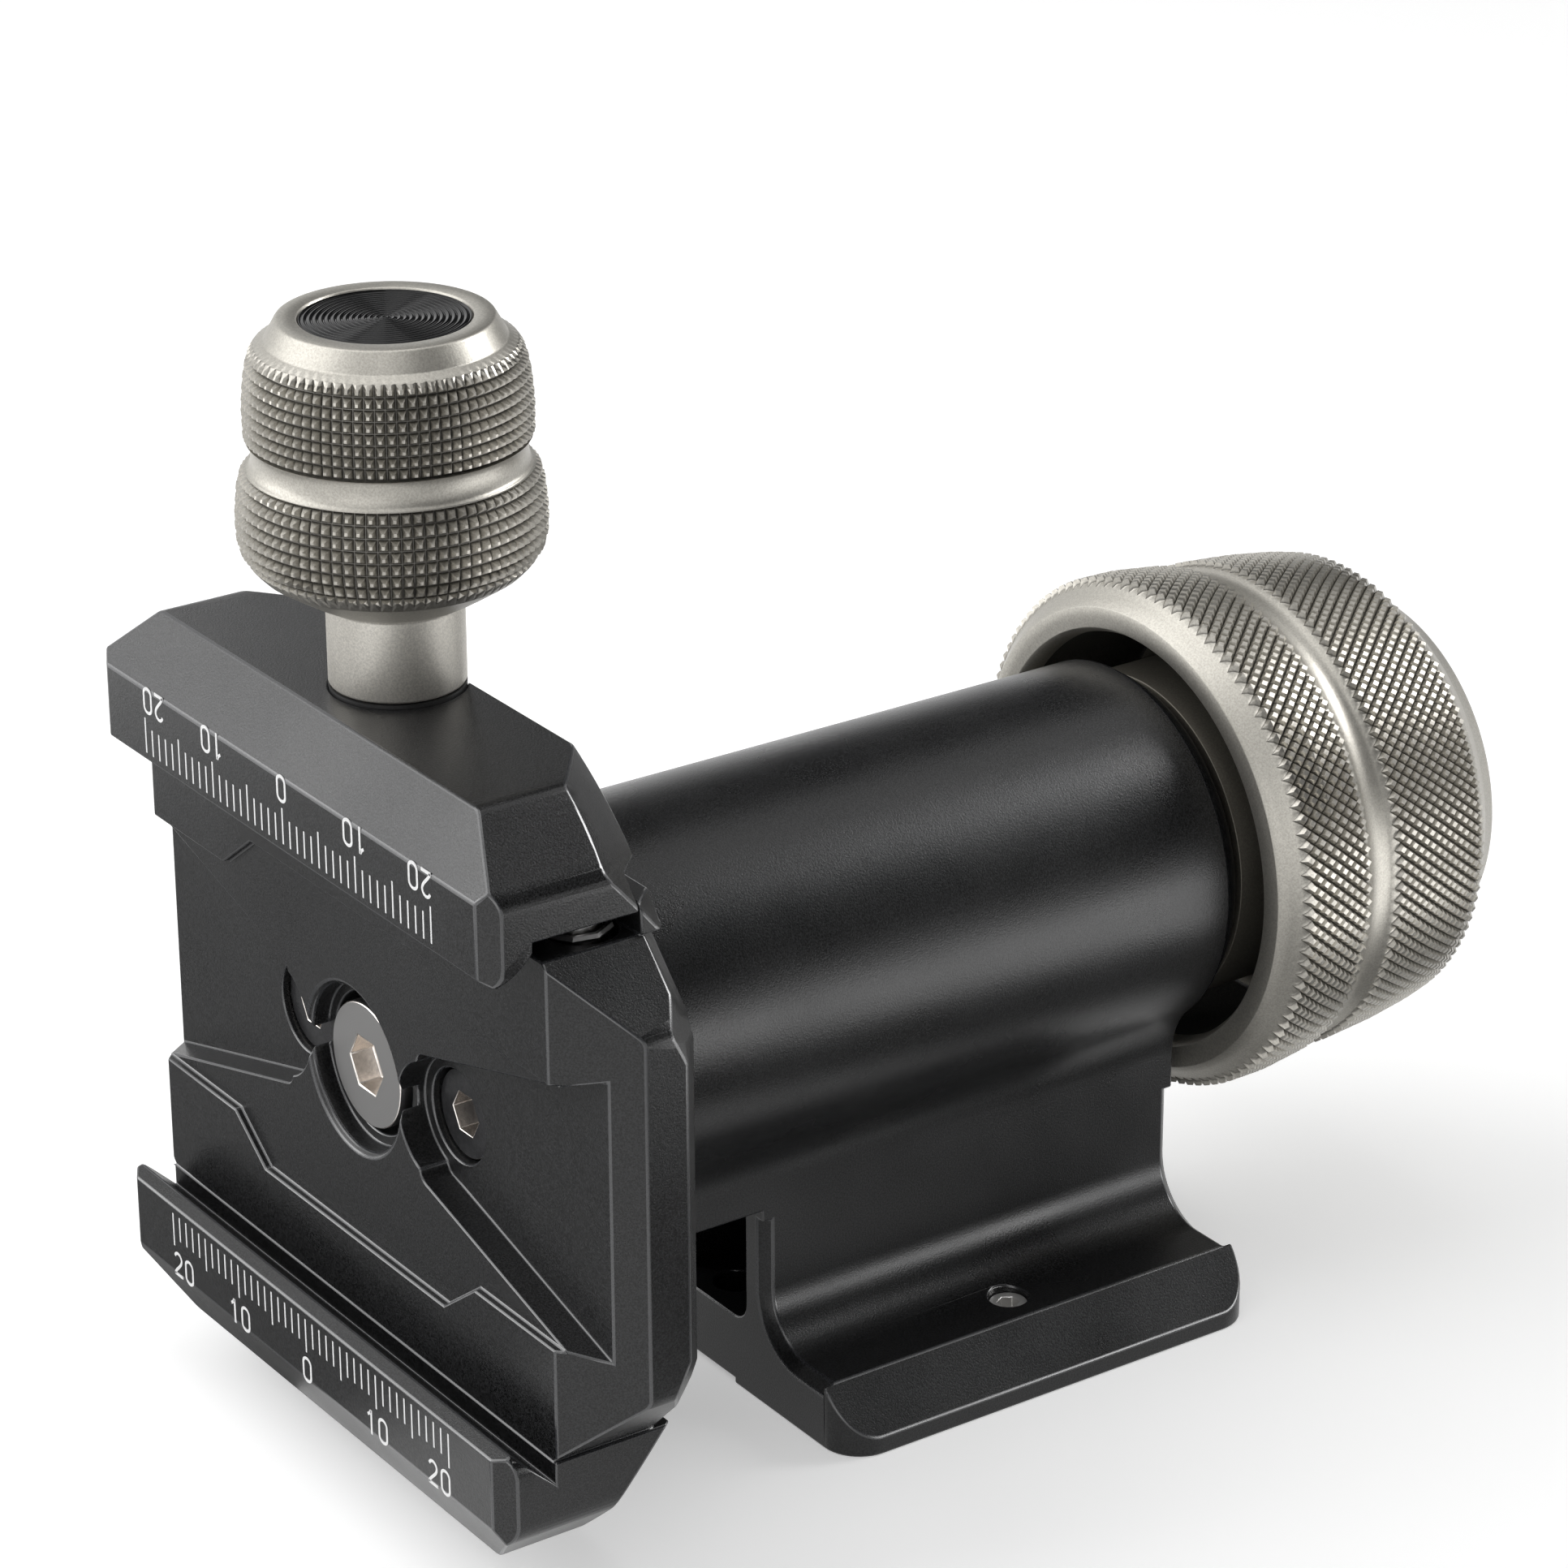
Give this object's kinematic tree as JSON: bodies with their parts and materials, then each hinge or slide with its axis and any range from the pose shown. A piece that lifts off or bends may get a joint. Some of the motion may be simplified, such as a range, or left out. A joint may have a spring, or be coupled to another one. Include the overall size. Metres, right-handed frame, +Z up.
{
  "type": "gimbal head",
  "caption": "Tilting gimbal head with a graduated dovetail clamp, a round arm on a square base, a clamp knob and a rear tilt lock knob.",
  "frame": {"origin": "centre of the square base's underside, where the tripod thread opens", "axes": "+Z up, +Y from the dovetail clamp to the tilt knob, along the tilt axis"},
  "size_m": [0.0648, 0.1021, 0.0899],
  "materials": {
    "anodised_black": "fine bead blasted black anodising",
    "champagne": "satin champagne anodising",
    "steel": "machined",
    "blackened_steel": "black oxide",
    "polymer": "moulded",
    "brass": "machined"
  },
  "bodies": {
    "arm": {"arm_housing": "anodised_black", "base_thread_insert": "steel", "base_set_screws": "steel", "front_bearing_outer_ring": "steel", "front_bearing_balls": "steel", "rear_bearing_outer_ring": "steel", "rear_bearing_balls": "steel", "bearing_snap_ring": "blackened_steel", "front_friction_disc": "polymer", "rear_friction_washer": "polymer"},
    "tilt": {"clamp_body": "anodised_black", "tilt_shaft": "steel", "centre_screw": "steel", "flange_screws": "blackened_steel", "front_bearing_inner_ring": "steel", "rear_bearing_inner_ring": "steel", "bearing_spacer": "steel", "shaft_stop_washer": "steel", "shaft_stop_screw": "blackened_steel"},
    "jaw": {"moving_jaw": "anodised_black", "guide_pins": "steel", "jaw_springs": "steel", "knob_neck_washer": "polymer"},
    "clamp_knob": {"clamp_knob": "champagne", "clamp_knob_cap": "anodised_black", "clamp_screw": "steel"},
    "lock_washer": {"knob_thrust_washer": "steel"},
    "tilt_knob": {"tilt_knob": "champagne", "tilt_knob_insert": "brass", "tilt_knob_cap": "anodised_black"}
  },
  "joints": [
    {"name": "tilt", "type": "hinge", "parent": "arm", "child": "tilt", "pos_m": [0, 0, 0.0338], "axis": [0, 1, 0], "continuous": true},
    {"name": "jaw_slide", "type": "slide", "parent": "tilt", "child": "jaw", "axis": [0, 0, 1], "range_m": [-0.00145, 0.003], "deforming": ["jaw_springs"]},
    {"name": "clamp_knob_turn", "type": "hinge", "parent": "jaw", "child": "clamp_knob", "pos_m": [0, -0.04467, 0.08], "axis": [0, 0, 1], "range_deg": [-522, 1080]},
    {"name": "lock_slide", "type": "slide", "parent": "tilt", "child": "lock_washer", "axis": [0, 1, 0], "range_m": [0, 0.0005]},
    {"name": "tilt_knob_turn", "type": "hinge", "parent": "lock_washer", "child": "tilt_knob", "pos_m": [0, 0.034, 0.0338], "axis": [0, 1, 0], "range_deg": [0, 120]}
  ],
  "couplings": [
    {"joint": "clamp_knob_turn", "follows": "jaw_slide", "rad_per_m": 6283.2},
    {"joint": "tilt_knob_turn", "follows": "lock_slide", "rad_per_m": 4188.8}
  ]
}
